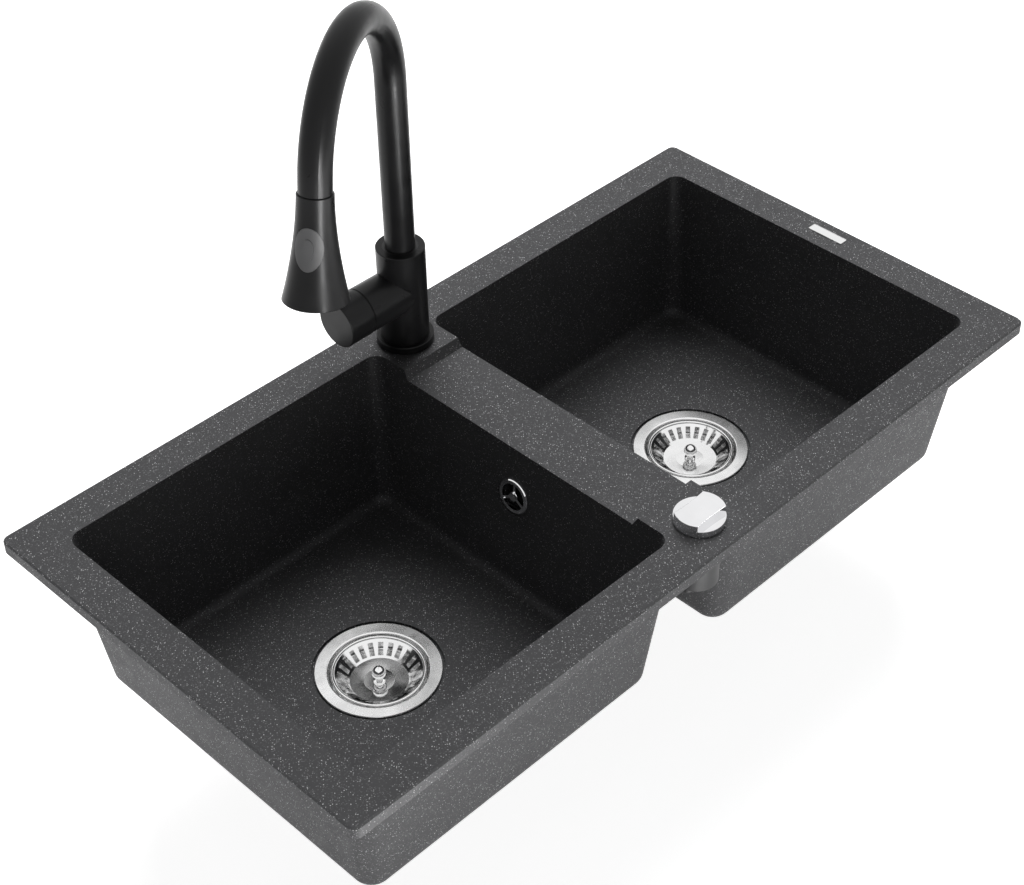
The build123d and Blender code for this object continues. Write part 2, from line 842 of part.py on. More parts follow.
with BuildPart() as control_spindle:
    with BuildSketch(level(0, control_y, control_arm_top)):
        Circle(control_spindle_radius)
    extrude(amount=control_floor + control_bearing - control_arm_top)
    with BuildSketch(level(0, control_y, control_arm_top)):
        Circle(control_spindle_radius + control_arm_boss)
        with Locations((-control_arm_reach / 2, 0)):
            Rectangle(control_arm_reach, 2 * cable_gland_radius)
        with Locations((-control_arm_reach, 0)):
            Circle(cable_gland_radius)
            Circle(cable_bore_radius, mode=Mode.SUBTRACT)
    extrude(amount=-control_arm_thickness)
save(control_spindle, "control_spindle")

# ================================================================ tap body and its fixing
body_floor = rim_top + deck_seal_thickness + base_ring_height
body_top = rim_top + tap_height
socket_top = body_floor + shank_socket
branch_z = rim_top + branch_height
tap_plane = upright(0, tap_y, 0)
tap_axis = Axis((0, tap_y, 0), (0, 0, 1))
cartridge_end = chamber_start + cartridge_gasket_thickness + cartridge_base_length + cartridge_length
ports = [
    (inlet_ring * sin(radians(inlet_spread)), -port_rise),
    (-inlet_ring * sin(radians(inlet_spread)), -port_rise),
    (0, port_rise),
]
waterways = [
    (-inlet_ring * cos(radians(inlet_spread)), inlet_ring * sin(radians(inlet_spread)), -port_rise),
    (-inlet_ring * cos(radians(inlet_spread)), -inlet_ring * sin(radians(inlet_spread)), -port_rise),
    (-(hose_passage_radius + chamber_start) / 2, 0, port_rise),
]
inlets = [
    (-inlet_ring * cos(radians(turn)), tap_y + inlet_ring * sin(radians(turn)))
    for turn in (inlet_spread, -inlet_spread, 0)
]


def branch(distance: float) -> Plane:
    """A plane square to the branch, this far from the tap's axis, facing the handle."""
    return Plane(origin=(-distance, tap_y, branch_z), x_dir=(0, 1, 0), z_dir=(-1, 0, 0))


branch_profile = Plane(origin=(0, tap_y, branch_z), x_dir=(0, 0, 1), z_dir=(0, -1, 0))
branch_axis = Axis((0, tap_y, branch_z), (-1, 0, 0))

save(
    ring(level(0, tap_y, rim_top), deck_seal_radius, shank_radius + seat_gap, deck_seal_thickness),
    "tap_deck_seal",
)

with BuildPart() as tap_base_ring:
    with BuildSketch(level(0, tap_y, rim_top + deck_seal_thickness)):
        Circle(base_ring_radius)
        Circle(shank_radius + seat_gap, mode=Mode.SUBTRACT)
    extrude(amount=base_ring_height)
    chamfer(
        tap_base_ring.edges().group_by(Axis.Z)[-1].sort_by(SortBy.RADIUS)[-1],
        tap_edge_bevel,
    )
save(tap_base_ring, "tap_base_ring")

with BuildPart() as tap_body:
    with BuildSketch(level(0, tap_y, body_floor)):
        Circle(tap_radius)
    extrude(amount=body_top - body_floor)
    chamfer(tap_body.edges().group_by(Axis.Z)[-1], tap_edge_bevel)
    with BuildSketch(branch(0)):
        Circle(branch_radius)
    extrude(amount=branch_length)
    chamfer(tap_body.edges().group_by(Axis.X)[0], branch_bevel)
    # sockets for the shank, the spout and the cartridge
    with BuildSketch(level(0, tap_y, body_floor)):
        Circle(shank_radius + fit)
    extrude(amount=shank_socket, mode=Mode.SUBTRACT)
    with BuildSketch(level(0, tap_y, body_floor)):
        Circle(hose_passage_radius)
    extrude(amount=body_top - body_floor, mode=Mode.SUBTRACT)
    with BuildSketch(level(0, tap_y, spout_seat)):
        Circle(bush_radius + fit)
    extrude(amount=body_top - spout_seat, mode=Mode.SUBTRACT)
    with BuildSketch(branch(chamber_start)):
        Circle(chamber_radius)
    extrude(amount=branch_length, mode=Mode.SUBTRACT)
    with BuildSketch(branch(cartridge_end)):
        Circle(nut_outer_radius + fit)
    extrude(amount=branch_length, mode=Mode.SUBTRACT)
    # hot, cold and mixed water: a threaded hole from below, a way up and a port into the chamber
    with BuildSketch(Plane.XY.offset(socket_top)):
        with Locations(*inlets):
            Circle(inlet_radius)
    extrude(amount=inlet_depth, mode=Mode.SUBTRACT)
    for x, y, rise in waterways:
        with BuildSketch(level(x, tap_y + y, socket_top + inlet_depth)):
            Circle(passage_radius)
        extrude(
            amount=branch_z + rise - socket_top - inlet_depth,
            mode=Mode.SUBTRACT,
        )
        with BuildSketch(Plane(origin=(x, tap_y + y, branch_z + rise), x_dir=(0, 1, 0), z_dir=(-1, 0, 0))):
            Circle(passage_radius)
        extrude(amount=chamber_start + x + cut_overrun, mode=Mode.SUBTRACT)
save(tap_body, "tap_body")

save(
    ring(level(0, tap_y, -shank_length), shank_radius, shank_bore, shank_length + socket_top),
    "tap_shank",
)
fixing_bore = shank_radius + seat_gap
save(
    ring(
        level(0, tap_y, -fixing_seal_thickness),
        fixing_washer_radius,
        fixing_bore,
        fixing_seal_thickness,
    ),
    "tap_fixing_seal",
)
save(
    ring(
        level(0, tap_y, -fixing_seal_thickness - fixing_washer_thickness),
        fixing_washer_radius,
        fixing_bore,
        fixing_washer_thickness,
    ),
    "tap_fixing_washer",
)
with BuildPart() as tap_fixing_nut:
    with BuildSketch(level(0, tap_y, -fixing_seal_thickness - fixing_washer_thickness)):
        RegularPolygon(fixing_nut_across_flats / 2, 6, major_radius=False)
        Circle(shank_radius + fit, mode=Mode.SUBTRACT)
    extrude(amount=-fixing_nut_height)
save(tap_fixing_nut, "tap_fixing_nut")

# ================================================================ cartridge
base_start = chamber_start + cartridge_gasket_thickness
housing_start = base_start + cartridge_base_length
with BuildPart() as cartridge_gasket:
    with BuildSketch(branch(chamber_start)):
        Circle(cartridge_radius)
        with Locations(*ports):
            Circle(passage_radius, mode=Mode.SUBTRACT)
    extrude(amount=cartridge_gasket_thickness)
save(cartridge_gasket, "cartridge_gasket")

with BuildPart() as cartridge_base:
    with BuildSketch(branch(base_start)):
        Circle(cartridge_radius)
        with Locations(*ports):
            Circle(passage_radius, mode=Mode.SUBTRACT)
    extrude(amount=cartridge_base_length)
save(cartridge_base, "cartridge_base")

with BuildPart() as cartridge_housing:
    with BuildSketch(branch(housing_start)):
        Circle(cartridge_radius)
    extrude(amount=cartridge_length)
    with BuildSketch(branch(housing_start)):
        Circle(carrier_flange_radius + fit)
    extrude(amount=carrier_flange_length + 2 * seat_gap, mode=Mode.SUBTRACT)
    with BuildSketch(branch(housing_start)):
        Circle(carrier_radius + fit)
    extrude(amount=cartridge_length, mode=Mode.SUBTRACT)
save(cartridge_housing, "cartridge_housing")

carrier_start = housing_start + seat_gap
carrier_end = cartridge_end - seat_gap
with BuildPart() as cartridge_carrier:
    with BuildSketch(branch(carrier_start)):
        Circle(carrier_flange_radius)
    extrude(amount=carrier_flange_length)
    with BuildSketch(branch(carrier_start)):
        Circle(carrier_radius)
    extrude(amount=carrier_end - carrier_start)
    # the slot lets the stem tilt one way only
    tilt_slope = tan(radians(lever_tilt + tilt_allowance))
    slot_half = stem_radius + stem_clearance
    slot_back = carrier_start - lever_pivot - cut_overrun
    slot_front = carrier_end - lever_pivot + cut_overrun
    with BuildSketch(Plane(origin=(-lever_pivot, tap_y, branch_z), x_dir=(-1, 0, 0), z_dir=(0, 1, 0))):
        with BuildLine():
            Polyline(
                (slot_back, slot_half - slot_back * tilt_slope),
                (0, slot_half),
                (slot_front, slot_half),
                (slot_front, -slot_half - slot_front * tilt_slope),
                (0, -slot_half),
                (slot_back, -slot_half),
                close=True,
            )
        make_face()
    extrude(amount=stem_radius + 2 * fit, both=True, mode=Mode.SUBTRACT)
    with BuildSketch(Plane(origin=(-lever_pivot, tap_y, branch_z), x_dir=(-1, 0, 0), z_dir=(0, 1, 0))):
        Circle(hinge_pin_radius + fit)
    extrude(amount=carrier_radius, both=True, mode=Mode.SUBTRACT)
save(cartridge_carrier, "cartridge_carrier")

with BuildPart() as cartridge_pin:
    with BuildSketch(Plane(origin=(-lever_pivot, tap_y, branch_z), x_dir=(-1, 0, 0), z_dir=(0, 1, 0))):
        Circle(hinge_pin_radius)
    extrude(amount=carrier_radius - 2 * seat_gap, both=True)
save(cartridge_pin, "cartridge_pin")

with BuildPart() as cartridge_stem:
    with BuildSketch(branch(lever_pivot - stem_tail)):
        Circle(stem_radius)
    extrude(amount=stem_reach - lever_pivot + stem_tail)
    with BuildSketch(Plane(origin=(-lever_pivot, tap_y, branch_z), x_dir=(-1, 0, 0), z_dir=(0, 1, 0))):
        Circle(hinge_pin_radius + fit)
    extrude(amount=2 * stem_radius, both=True, mode=Mode.SUBTRACT)
save(cartridge_stem, "cartridge_stem")

save(ring(branch(cartridge_end), nut_outer_radius, nut_inner_radius, nut_length), "cartridge_nut")

# ================================================================ handle
handle_start = branch_length + handle_gap
handle_end = handle_start + handle_length
hollow_radius = handle_bevel_radius - handle_wall
lever_out = Vector(-sin(radians(lever_lean)), 0, cos(radians(lever_lean)))
lever_plane = Plane(
    origin=(-lever_x, tap_y, branch_z),
    x_dir=(cos(radians(lever_lean)), 0, sin(radians(lever_lean))),
    z_dir=(0, -1, 0),
)
lever_axis = Axis((-lever_x, tap_y, branch_z), lever_out)
root_start = handle_radius - lever_root_sink
root_curve = (
    lever_radius + lever_root_hollow[0] * (lever_root_radius - lever_radius),
    root_start + lever_root_hollow[1] * lever_root_height,
)
root_end = root_start + lever_root_height
socket_floor = lever_axis.position + lever_out * (root_end - lever_socket)
with BuildPart() as handle_knob:
    with BuildSketch(branch_profile):
        with BuildLine():
            Polyline(
                (handle_radius - handle_edge, handle_end),
                (0, handle_end),
                (0, handle_start),
                (handle_bevel_radius, handle_start),
                (handle_radius, handle_start + handle_bevel_length),
                (handle_radius, handle_end - handle_edge),
            )
            RadiusArc(
                (handle_radius, handle_end - handle_edge),
                (handle_radius - handle_edge, handle_end),
                -handle_edge,
            )
        make_face()
    revolve(axis=branch_axis)
    # the lever's root, drawn out of the handle in a hollow curve
    with BuildSketch(lever_plane):
        with BuildLine():
            Polyline(
                (lever_radius, root_end),
                (0, root_end),
                (0, handle_radius / 2),
                (lever_root_radius, handle_radius / 2),
                (lever_root_radius, root_start),
            )
            ThreePointArc(
                (lever_root_radius, root_start),
                root_curve,
                (lever_radius, root_end),
            )
        make_face()
    revolve(axis=lever_axis)
    with BuildSketch(branch(handle_start)):
        Circle(hollow_radius)
    extrude(amount=handle_hollow, mode=Mode.SUBTRACT)
    with BuildSketch(branch(handle_start)):
        Circle(stem_radius + fit)
    extrude(amount=stem_reach + seat_gap - handle_start, mode=Mode.SUBTRACT)
    with BuildSketch(Plane(origin=socket_floor, z_dir=lever_out)):
        Circle(lever_thread_radius + fit)
    extrude(amount=lever_socket, mode=Mode.SUBTRACT)
    with BuildSketch(level(-lever_x, tap_y, branch_z)):
        Circle(grub_radius + fit)
    extrude(amount=-handle_radius, mode=Mode.SUBTRACT)
save(handle_knob, "handle_knob")

with BuildPart() as lever_pin:
    with BuildSketch(lever_plane):
        with BuildLine():
            Polyline(
                (0, root_end - lever_socket + seat_gap),
                (lever_thread_radius, root_end - lever_socket + seat_gap),
                (lever_thread_radius, root_end),
                (lever_radius, root_end),
                (lever_radius, lever_length - handle_edge),
            )
            RadiusArc(
                (lever_radius, lever_length - handle_edge),
                (lever_radius - handle_edge, lever_length),
                -handle_edge,
            )
            Polyline(
                (lever_radius - handle_edge, lever_length),
                (0, lever_length),
                (0, root_end - lever_socket + seat_gap),
            )
        make_face()
    revolve(axis=lever_axis)
save(lever_pin, "lever_pin")

with BuildPart() as handle_grub_screw:
    with BuildSketch(level(-lever_x, tap_y, branch_z - stem_radius - fit)):
        Circle(grub_radius)
    extrude(amount=-grub_length)
save(handle_grub_screw, "handle_grub_screw")

# ================================================================ spout
heading = Vector(cos(radians(spout_heading)), sin(radians(spout_heading)), 0)
arch_base_z = rim_top + spout_rise
spout_plane = Plane(origin=(0, tap_y, arch_base_z), x_dir=heading, z_dir=heading.cross(Vector(0, 0, 1)))
arch_end_angle = 180 - arch_angle
spray_down = heading * sin(radians(arch_angle)) + Vector(0, 0, 1) * cos(radians(arch_angle))
spray_out = heading * -cos(radians(arch_angle)) + Vector(0, 0, 1) * sin(radians(arch_angle))
arch_end = spout_plane.from_local_coords(
    (
        arch_radius + arch_radius * cos(radians(arch_end_angle)),
        arch_radius * sin(radians(arch_end_angle)),
    )
)
spout_inner_radius = spout_radius - spout_wall
spout_bottom = spout_seat + bush_floor + seat_gap / 2
ring_z = spout_bottom + ring_level

with BuildPart() as spout_bush:
    with BuildSketch(tap_plane):
        with BuildLine():
            Polyline(
                (bush_bore, spout_seat),
                (bush_radius, spout_seat),
                (bush_radius, body_top),
                (spout_radius + fit, body_top),
                (spout_radius + fit, ring_z + ring_height + 2 * fit),
                (ring_outer_radius + 2 * fit, ring_z + ring_height + 2 * fit),
                (ring_outer_radius + 2 * fit, ring_z - 2 * fit),
                (spout_radius + fit, ring_z - 2 * fit),
                (spout_radius + fit, spout_seat + bush_floor),
                (bush_bore, spout_seat + bush_floor),
                close=True,
            )
        make_face()
    revolve(axis=tap_axis)
save(spout_bush, "spout_bush")

with BuildPart() as spout_tube:
    with BuildLine(spout_plane) as spout_path:
        Line((0, spout_bottom - arch_base_z), (0, 0))
        CenterArc((arch_radius, 0), arch_radius, 180, -arch_angle)
        PolarLine(
            (
                arch_radius + arch_radius * cos(radians(arch_end_angle)),
                arch_radius * sin(radians(arch_end_angle)),
            ),
            spout_tip,
            arch_end_angle - 90,
        )
    with BuildSketch(level(0, tap_y, spout_bottom)):
        Circle(spout_radius)
        Circle(spout_inner_radius, mode=Mode.SUBTRACT)
    sweep(path=spout_path.line)
    with BuildSketch(level(0, tap_y, ring_z)):
        Circle(spout_radius + cut_overrun)
        Circle(spout_radius - ring_groove, mode=Mode.SUBTRACT)
    extrude(amount=ring_height, mode=Mode.SUBTRACT)
save(spout_tube, "spout_tube")

save(
    ring(
        level(0, tap_y, ring_z + fit),
        ring_outer_radius,
        spout_radius - ring_groove + fit,
        ring_height - 2 * fit,
    ),
    "spout_snap_ring",
)


def along_spray(distance: float) -> Plane:
    """A plane square to the spray head's axis, this far past the arch's end."""
    return Plane(origin=arch_end + spray_down * distance, x_dir=spray_out, z_dir=spray_down)


save(
    ring(along_spray(sleeve_start), spout_inner_radius - fit, sleeve_bore, spout_tip - sleeve_start),
    "spout_sleeve",
)

with BuildPart() as spray_hose:
    with BuildLine(spout_plane) as hose_path:
        Line((0, hose_bottom - arch_base_z), (0, 0))
        CenterArc((arch_radius, 0), arch_radius, 180, -arch_angle)
        PolarLine(
            (
                arch_radius + arch_radius * cos(radians(arch_end_angle)),
                arch_radius * sin(radians(arch_end_angle)),
            ),
            hose_end,
            arch_end_angle - 90,
        )
    with BuildSketch(level(0, tap_y, hose_bottom)):
        Circle(hose_radius)
    sweep(path=hose_path.line)
save(spray_hose, "spray_hose")

with BuildPart() as hose_connector:
    with BuildSketch(level(0, tap_y, hose_bottom)):
        RegularPolygon(connector_flats / 2, 6, major_radius=False)
        Circle(core_bore, mode=Mode.SUBTRACT)
    extrude(amount=-connector_length)
save(hose_connector, "hose_connector")

# ================================================================ spray head
spray_profile = Plane(origin=arch_end, x_dir=spray_out, z_dir=spray_out.cross(spray_down))
spray_axis = Axis(arch_end, spray_down)
button_inner = core_radius + button_travel + button_stop
face_radius = head_mouth_radius - head_wall
face_back = head_bottom - face_recess - face_thickness
shoulder_bottom = head_top + head_shoulder
button_plane = Plane(
    origin=arch_end + spray_down * pad_level,
    x_dir=spray_out.cross(spray_down),
    z_dir=spray_out,
)


def flare(distance: float) -> float:
    """The head's outer radius at a distance along its axis."""
    share = (distance - head_top) / (head_bottom - head_top)
    return head_top_radius + (head_mouth_radius - head_top_radius) * share**flare_power


def flare_points(start: float, end: float, growth: float) -> list:
    """Points of the head's outline, grown outwards, for a smooth curve."""
    levels = [start + (end - start) * step / flare_steps for step in range(flare_steps + 1)]
    return [(flare(distance) + growth, distance) for distance in levels]


def flare_form(growth: float) -> Part:
    """The head's solid form, grown outwards, without its ends."""
    start = head_top + flare_trim
    end = head_bottom - flare_trim
    with BuildPart() as form:
        with BuildSketch(spray_profile):
            with BuildLine():
                points = flare_points(start, end, growth)
                Spline(*points)
                Polyline(points[-1], (0, end), (0, start), points[0])
            make_face()
        revolve(axis=spray_axis)
    return form.part


with BuildPart() as pad_pocket:
    with BuildSketch(button_plane):
        Ellipse(pad_width / 2 + slide_clearance, pad_height / 2 + slide_clearance)
    extrude(amount=2 * head_mouth_radius)
    add(flare_form(-pad_sink), mode=Mode.SUBTRACT)

with BuildPart() as spray_shell:
    with BuildSketch(spray_profile):
        with BuildLine():
            outer = flare_points(head_top + head_bevel, head_bottom - head_lip, 0)
            inner = flare_points(shoulder_bottom, face_back, -head_wall)
            Spline(*outer)
            Polyline(
                outer[-1],
                (outer[-1][0] - head_lip, head_bottom),
                (face_radius, head_bottom),
                (face_radius, face_back),
                inner[-1],
            )
            Spline(*inner)
            Polyline(
                inner[0],
                (neck_bore, shoulder_bottom),
                (neck_bore, neck_start),
                (neck_radius, neck_start),
                (neck_radius, head_top),
                (head_top_radius - head_bevel, head_top),
                outer[0],
            )
        make_face()
    revolve(axis=spray_axis)
    add(pad_pocket.part, mode=Mode.SUBTRACT)
    with BuildSketch(button_plane):
        Ellipse(button_width / 2 + slide_clearance, button_height / 2 + slide_clearance)
    extrude(amount=2 * head_mouth_radius, mode=Mode.SUBTRACT)
save(spray_shell, "spray_shell")

with BuildPart() as spray_pad:
    with BuildSketch(button_plane):
        Ellipse(pad_width / 2, pad_height / 2)
        Ellipse(
            button_width / 2 + slide_clearance,
            button_height / 2 + slide_clearance,
            mode=Mode.SUBTRACT,
        )
    extrude(amount=2 * head_mouth_radius)
    add(flare_form(pad_stand), mode=Mode.INTERSECT)
    add(flare_form(-pad_sink), mode=Mode.SUBTRACT)
save(spray_pad, "spray_pad")

with BuildPart() as spray_button:
    with BuildSketch(button_plane):
        Ellipse(button_width / 2, button_height / 2)
    extrude(amount=2 * head_mouth_radius)
    add(flare_form(button_stand), mode=Mode.INTERSECT)
    with BuildSketch(button_plane):
        Rectangle(2 * button_width, 2 * button_height)
    extrude(amount=button_inner, mode=Mode.SUBTRACT)
    with BuildSketch(button_plane.offset(button_inner)):
        Ellipse(button_width / 2 + button_flange, button_height / 2 + button_flange)
    extrude(amount=button_flange_thickness)
save(spray_button, "spray_button")

save(ring(along_spray(hose_end), ferrule_radius, core_bore, ferrule_length), "hose_ferrule")

ferrule_bottom = hose_end + ferrule_length
with BuildPart() as spray_core:
    with BuildSketch(spray_profile):
        with BuildLine():
            Polyline(
                (ferrule_radius + fit, shoulder_bottom),
                (core_radius, shoulder_bottom),
                (core_radius, face_back - 2 * core_cup_length),
                (core_cup_radius, face_back - core_cup_length),
                (core_cup_radius, face_back),
                (core_cup_radius - head_wall, face_back),
                (core_cup_radius - head_wall, face_back - core_cup_length / 2),
                (core_bore, face_back - core_funnel),
                (core_bore, ferrule_bottom),
                (ferrule_radius + fit, ferrule_bottom),
                close=True,
            )
        make_face()
    revolve(axis=spray_axis)
save(spray_core, "spray_core")

with BuildPart() as spray_face:
    with BuildSketch(along_spray(face_back)):
        Circle(face_radius - face_clearance)
    extrude(amount=face_thickness)
    with BuildSketch(along_spray(face_back + face_thickness)):
        Circle(aerator_radius)
    extrude(amount=-aerator_depth, mode=Mode.SUBTRACT)
save(spray_face, "spray_face")

with BuildPart() as spray_nozzles:
    for count, ring_radius in ((inner_nozzles, inner_nozzle_ring), (outer_nozzles, outer_nozzle_ring)):
        with BuildSketch(along_spray(face_back + face_thickness)):
            with PolarLocations(ring_radius, count):
                Circle(nozzle_radius)
        extrude(amount=nozzle_length, taper=nozzle_taper)
save(spray_nozzles, "spray_nozzles")
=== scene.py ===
"""Looks of a double bowl kitchen sink with strainer wastes, an overflow, a pop-up control and a pull-down tap.

Metres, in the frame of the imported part: +X along the sink's long side, +Y towards the tap, +Z up,
with the origin in the middle of the rim's underside.
"""

import logging
import math
from dataclasses import dataclass, field
from enum import Enum

import bpy
from mathutils import Matrix, Vector


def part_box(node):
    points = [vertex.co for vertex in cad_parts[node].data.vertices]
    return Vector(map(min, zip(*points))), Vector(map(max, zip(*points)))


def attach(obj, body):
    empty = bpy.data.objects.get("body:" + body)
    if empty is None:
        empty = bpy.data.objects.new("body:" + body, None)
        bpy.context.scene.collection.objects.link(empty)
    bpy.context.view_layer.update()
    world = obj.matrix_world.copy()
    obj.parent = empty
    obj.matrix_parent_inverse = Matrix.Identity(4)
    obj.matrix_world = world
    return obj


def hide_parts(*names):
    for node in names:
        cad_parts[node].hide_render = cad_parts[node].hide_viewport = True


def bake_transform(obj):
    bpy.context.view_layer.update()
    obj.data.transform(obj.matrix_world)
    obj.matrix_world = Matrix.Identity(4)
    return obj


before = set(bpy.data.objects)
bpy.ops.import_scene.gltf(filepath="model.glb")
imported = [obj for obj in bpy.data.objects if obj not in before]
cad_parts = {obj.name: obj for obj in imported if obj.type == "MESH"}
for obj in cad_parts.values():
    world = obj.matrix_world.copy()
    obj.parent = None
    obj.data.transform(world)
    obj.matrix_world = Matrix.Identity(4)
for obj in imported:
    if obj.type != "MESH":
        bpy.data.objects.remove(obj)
log = logging.getLogger("sink")
Rgb = tuple[float, float, float]
BLACK: Rgb = (0.0, 0.0, 0.0)


class Body(Enum):
    """The moving bodies that new pieces ride on."""

    FIXED = "basin_and_tap"
    SPOUT = "spout"
    SPRAY = "spray_head"


class Slot(Enum):
    """Material slots of the part's record."""

    STEEL = "polished_basket"
    HOSE = "braided_hose"


# ---------------------------------------------------------------- finishes
class Graph:
    """Adds and joins the nodes of one material."""

    def __init__(self, name: str) -> None:
        """Starts a material that holds a Principled shader."""
        self.material = bpy.data.materials.new(name)
        self.material.use_nodes = True
        self.tree = self.material.node_tree
        self.shader = self.tree.nodes["Principled BSDF"]

    def node(
        self, kind: str, inputs: dict[int | str, object] | None = None, **settings: object
    ) -> bpy.types.Node:
        """Adds a node.

        Args:
            kind: The node's type, without the words ShaderNode.
            inputs: Values or sockets for its inputs.
            settings: The node's own settings.

        Returns:
            The new node.
        """
        made = self.tree.nodes.new(f"ShaderNode{kind}")
        for key, value in settings.items():
            setattr(made, key, value)
        for key, value in (inputs or {}).items():
            self.feed(made.inputs[key], value)
        return made

    def feed(self, socket: bpy.types.NodeSocket, value: object) -> None:
        """Links a socket to another one, or sets its value.

        Args:
            socket: The input that is fed.
            value: A socket, or a plain value.
        """
        if isinstance(value, bpy.types.NodeSocket):
            self.tree.links.new(value, socket)
        elif isinstance(value, tuple) and len(value) == 3 and socket.type == "RGBA":
            socket.default_value = (*value, 1.0)
        else:
            socket.default_value = value

    def math(self, operation: str, first: object, second: object = 0.0) -> bpy.types.NodeSocket:
        """One arithmetic step.

        Args:
            operation: The step's name in Blender.
            first: The first number or socket.
            second: The second one, where the step has two.

        Returns:
            The result's socket.
        """
        return self.node("Math", {0: first, 1: second}, operation=operation).outputs[0]

    def place(self, centre: Vector | None = None) -> bpy.types.NodeSocket:
        """Coordinates of the object.

        Args:
            centre: The point that they are counted from, or none for the origin.

        Returns:
            The coordinates' socket.
        """
        coordinates = self.node("TexCoord").outputs["Object"]
        if centre is None:
            return coordinates
        return self.node("Mapping", {"Vector": coordinates, "Location": tuple(-centre)}).outputs[0]

    def noise(
        self, scale: float, detail: float = 2.0, place: bpy.types.NodeSocket | None = None
    ) -> bpy.types.NodeSocket:
        """Noise, as a number around a half.

        Args:
            scale: Cells in a metre.
            detail: Finer layers added.
            place: The coordinates it reads.

        Returns:
            The noise's socket.
        """
        inputs = {"Vector": place or self.place(), "Scale": scale, "Detail": detail}
        return self.node("TexNoise", inputs).outputs["Fac"]

    def spread(
        self, value: object, low: float, high: float, start: float = 0.3, end: float = 0.7
    ) -> bpy.types.NodeSocket:
        """Spreads a value from one range over another."""
        inputs = {"Value": value, "From Min": start, "From Max": end, "To Min": low, "To Max": high}
        return self.node("MapRange", inputs).outputs["Result"]

    def tint(self, color: Rgb, low: float, high: float, by: object) -> bpy.types.NodeSocket:
        """A colour that turns darker and lighter with a value from 0 to 1."""
        dark, light = ((*[channel * share for channel in color],) for share in (low, high))
        return self.blend(by, dark, light)

    def blend(self, share: object, first: object, second: object) -> bpy.types.NodeSocket:
        """A mix of two colours.

        Args:
            share: How much of the second colour there is.
            first: The first colour.
            second: The second colour.

        Returns:
            The mixed colour's socket.
        """
        mix = self.node("Mix", data_type="RGBA")
        for socket, value in ((mix.inputs[0], share), (mix.inputs[6], first), (mix.inputs[7], second)):
            self.feed(socket, value)
        return mix.outputs[2]

    def bump(self, height: object, depth: float, strength: float = 1.0) -> None:
        """Raises the surface by a height from 0 to 1."""
        node = self.node("Bump", {"Height": height, "Distance": depth, "Strength": strength})
        self.feed(self.shader.inputs["Normal"], node.outputs[0])


@dataclass(frozen=True)
class Finish:
    """A plain moulded or coated surface, which the other finishes build on."""

    name: str
    color: Rgb
    roughness: float = 0.5
    metallic: float = 0.0
    specular: float = 0.5
    grain: float = 900.0
    grain_depth: float = 0.00004
    variation: float = 0.08
    roughness_spread: float = 0.06

    def graph(self) -> Graph:
        """Sets the uniform values, fine grain and slightly uneven colour and gloss.

        Returns:
            The material's graph, for a finish that adds to it.
        """
        made = Graph(self.name)
        made.feed(made.shader.inputs["Metallic"], self.metallic)
        made.feed(made.shader.inputs["Specular IOR Level"], self.specular)
        patches = made.noise(35.0, 3.0)
        color = made.tint(self.color, 1 - self.variation, 1 + self.variation, patches)
        made.feed(made.shader.inputs["Base Color"], color)
        low, high = self.roughness - self.roughness_spread, self.roughness + self.roughness_spread
        made.feed(made.shader.inputs["Roughness"], made.spread(made.noise(60.0, 4.0), low, high))
        made.bump(made.noise(self.grain), self.grain_depth)
        return made

    def material(self) -> bpy.types.Material:
        """The finished material."""
        return self.graph().material


@dataclass(frozen=True)
class StoneComposite(Finish):
    """Dark granite and resin, with pale mineral specks."""

    speck_color: Rgb = (0.88, 0.88, 0.9)
    speck_scale: float = 780.0
    speck_share: float = 0.2
    speck_size: float = 0.33
    speck_turn: tuple[float, float, float] = (0.6, 0.4, 0.9)  # keeps the cells' rows off the walls
    dust_scale: float = 1000.0
    dust_share: float = 0.24
    dust_size: float = 0.6
    dust_strength: float = 0.12

    def specks(self, made: Graph, scale: float, share: float, size: float) -> bpy.types.NodeSocket:
        """A mask of round specks, each of its own brightness.

        Args:
            made: The material's graph.
            scale: Cells in a metre.
            share: The share of the cells that hold a speck.
            size: A speck's radius, in cells.

        Returns:
            The mask's socket.
        """
        turned = made.node("Mapping", {"Vector": made.place(), "Rotation": self.speck_turn}).outputs[0]
        cells = made.node("TexVoronoi", {"Vector": turned, "Scale": scale})
        draw = made.node("SeparateColor", {"Color": cells.outputs["Color"]})
        chosen = made.math("GREATER_THAN", draw.outputs[0], 1 - share)
        near = made.math("LESS_THAN", cells.outputs["Distance"], size)
        return made.math("MULTIPLY", made.math("MULTIPLY", chosen, near), draw.outputs[1])

    def material(self) -> bpy.types.Material:
        """The finished material."""
        made = self.graph()
        ground = made.shader.inputs["Base Color"].links[0].from_socket
        fine = self.specks(made, self.dust_scale, self.dust_share, self.dust_size)
        dust = made.math("MULTIPLY", fine, self.dust_strength)
        large = self.specks(made, self.speck_scale, self.speck_share, self.speck_size)
        color = made.blend(made.math("MAXIMUM", dust, large), ground, self.speck_color)
        made.feed(made.shader.inputs["Base Color"], color)
        return made.material


@dataclass(frozen=True)
class TurnedMetal(Finish):
    """Metal with fine marks in rings around an upright axis."""

    centre: tuple[float, float, float] = BLACK
    ring_scale: float = 2600.0

    def material(self) -> bpy.types.Material:
        """The finished material."""
        made = self.graph()
        place = made.place(Vector(self.centre))
        flat = made.node("VectorMath", {0: place, 1: (1.0, 1.0, 0.0)}, operation="MULTIPLY").outputs[0]
        radius = made.node("VectorMath", {0: flat}, operation="LENGTH").outputs["Value"]
        line = made.node("CombineXYZ", {"X": radius}).outputs[0]
        made.bump(made.noise(self.ring_scale, 3.0, line), self.grain_depth, 0.6)
        return made.material


